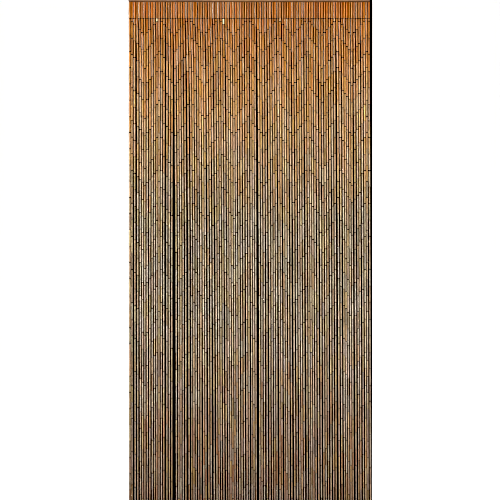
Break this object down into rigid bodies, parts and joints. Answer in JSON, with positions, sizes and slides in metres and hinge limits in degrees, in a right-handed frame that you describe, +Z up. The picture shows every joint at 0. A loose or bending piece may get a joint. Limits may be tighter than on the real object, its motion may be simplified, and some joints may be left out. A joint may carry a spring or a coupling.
{
  "type": "bamboo door curtain with its wooden rail",
  "caption": "Doorway curtain of bamboo tubes threaded on hanging cords, joints stepped in a zigzag, on a plain wooden top rail.",
  "frame": {"origin": "middle of the rail's flat back face, the face that goes against the wall or door frame", "axes": "+X along the rail to the right as seen from the front, +Y out of the rail's back towards the wall, +Z up; the curtain's front faces -Y"},
  "size_m": [0.9066, 0.014, 2.002],
  "materials": {
    "planed_wood": "planed, satin lacquer",
    "bamboo": "natural bamboo skin, semi-gloss",
    "cord": "twisted brown cord"
  },
  "bodies": {
    "root": {"rail": "planed_wood", "strands": "bamboo"}
  },
  "joints": []
}
